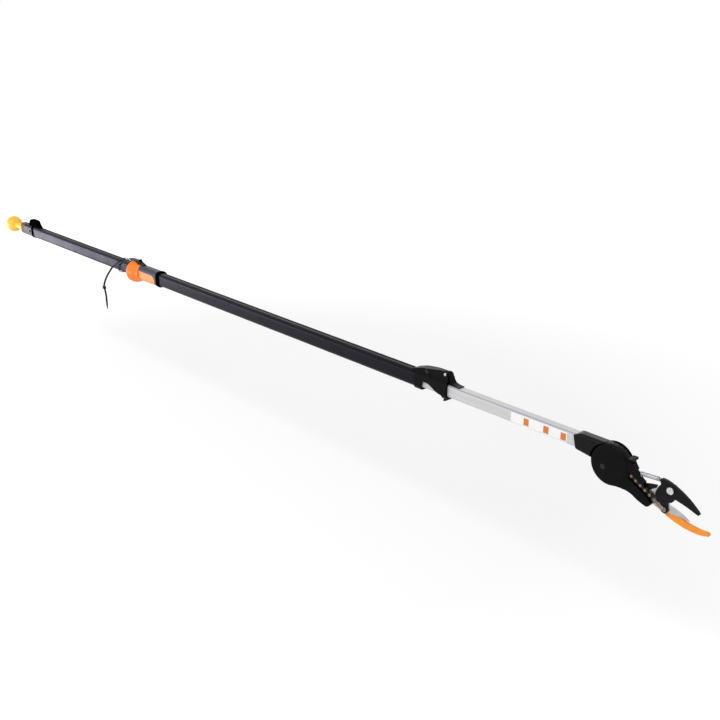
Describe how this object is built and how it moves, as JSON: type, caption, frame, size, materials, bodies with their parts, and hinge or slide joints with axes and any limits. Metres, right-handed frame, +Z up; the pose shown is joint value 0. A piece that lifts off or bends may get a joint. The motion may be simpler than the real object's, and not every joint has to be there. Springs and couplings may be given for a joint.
{
  "type": "tree pruner pole",
  "caption": "Telescopic tree pruner pole with ball-end pull, sliding handle, quick clamp and a swivelling geared cutting head with hook and hooked jaw.",
  "frame": {"origin": "on the axis of the outer tube at the hand hold", "axes": "+X along the pole towards the cutting head, +Z up, away from the hook's side, the strap slot on top"},
  "size_m": [2.3837, 0.0592, 0.1652],
  "materials": {
    "black_plastic": "satin",
    "blade_steel": "satin",
    "bright_anodised": "satin",
    "brown_plastic": "satin",
    "coated_steel": "satin",
    "dark_anodised": "satin",
    "grey_plastic": "satin",
    "nylon": "satin",
    "orange_coat": "satin",
    "orange_plastic": "satin",
    "spring_steel": "bright",
    "webbing": "matt",
    "yellow_plastic": "gloss",
    "zinc_steel": "satin"
  },
  "bodies": {
    "outer_pole": {"outer_tube": "dark_anodised", "end_plug": "brown_plastic", "plug_screw": "zinc_steel", "hangup_fin": "black_plastic", "fin_band": "black_plastic", "channel_strap": "webbing", "clamp_body": "black_plastic", "clamp_screw": "zinc_steel", "clamp_pad": "black_plastic", "lever_pin": "zinc_steel"},
    "ball": {"ball_knob": "yellow_plastic", "ball_strap": "webbing"},
    "handle": {"handle_bell": "orange_plastic", "grip_sleeve": "grey_plastic", "grip_lip": "black_plastic", "strap_shoe": "black_plastic", "latch_pin": "zinc_steel", "tie_strap": "nylon", "tie_head": "nylon", "tie_tail": "nylon"},
    "latch": {"handle_latch": "black_plastic"},
    "lever": {"clamp_lever": "black_plastic"},
    "inner_pole": {"inner_tube": "bright_anodised", "foot_bush": "black_plastic", "inner_strap": "webbing", "head_socket": "black_plastic", "socket_screws": "zinc_steel"},
    "head": {"front_housing": "black_plastic", "rear_housing": "black_plastic", "housing_screw": "zinc_steel", "swivel_axle": "zinc_steel", "gear_axle": "zinc_steel", "spring_pin": "zinc_steel", "pivot_bolt": "zinc_steel", "pivot_nut": "zinc_steel", "counter_blade": "blade_steel", "hook": "orange_coat", "hook_rivets": "zinc_steel", "return_spring": "spring_steel"},
    "lock": {"angle_lock": "black_plastic"},
    "drum": {"strap_drum": "black_plastic"},
    "gear": {"reduction_gear": "zinc_steel", "chain_sprocket": "zinc_steel"},
    "chain": {"chain_inner_links": "zinc_steel", "chain_outer_links": "zinc_steel"},
    "jaw": {"cutting_jaw": "coated_steel"}
  },
  "joints": [
    {"name": "telescope", "type": "slide", "parent": "outer_pole", "child": "inner_pole", "axis": [1, 0, 0], "range_m": [0, 1.2]},
    {"name": "clamp_open", "type": "hinge", "parent": "outer_pole", "child": "lever", "pos_m": [0.7075, 0, 0.0282], "axis": [0, -1, 0], "range_deg": [0, 75]},
    {"name": "handle_pull", "type": "slide", "parent": "outer_pole", "child": "handle", "axis": [-1, 0, 0], "range_m": [0, 0.18], "stiffness_N_per_m": 60},
    {"name": "ball_pull", "type": "slide", "parent": "outer_pole", "child": "ball", "axis": [-1, 0, 0], "range_m": [0, 0.1805]},
    {"name": "latch_lift", "type": "hinge", "parent": "handle", "child": "latch", "pos_m": [-0.386, 0, 0.0217], "axis": [0, -1, 0], "range_deg": [0, 8]},
    {"name": "head_swivel", "type": "hinge", "parent": "inner_pole", "child": "head", "pos_m": [1.0505, 0, -0.0196], "axis": [0, -1, 0], "range_deg": [-75, 45]},
    {"name": "lock_slide", "type": "slide", "parent": "head", "child": "lock", "axis": [0.8572, 0, 0.515], "range_m": [0, 0.004], "stiffness_N_per_m": 600, "springref_m": -0.002},
    {"name": "drum_turn", "type": "hinge", "parent": "head", "child": "drum", "pos_m": [1.0505, 0, -0.0196], "axis": [0, 1, 0], "range_deg": [0, 522]},
    {"name": "gear_turn", "type": "hinge", "parent": "head", "child": "gear", "pos_m": [1.06592, 0, -0.02422], "axis": [0, -1, 0], "range_deg": [0, 146]},
    {"name": "chain_run", "type": "slide", "parent": "head", "child": "chain", "axis": [-0.8712, 0, 0.4909], "range_m": [0, 0.0233]},
    {"name": "jaw_cut", "type": "hinge", "parent": "head", "child": "jaw", "pos_m": [1.1541, 0, -0.0233], "axis": [0, 1, 0], "range_deg": [0, 38.2], "deforming": ["return_spring"]}
  ],
  "couplings": [
    {"joint": "ball_pull", "follows": "handle_pull", "ratio": 1},
    {"joint": "drum_turn", "follows": "handle_pull", "rad_per_m": 50.505},
    {"joint": "gear_turn", "follows": "handle_pull", "rad_per_m": 14.029},
    {"joint": "chain_run", "follows": "handle_pull", "ratio": 0.12761},
    {"joint": "jaw_cut", "follows": "handle_pull", "rad_per_m": 3.6915}
  ]
}
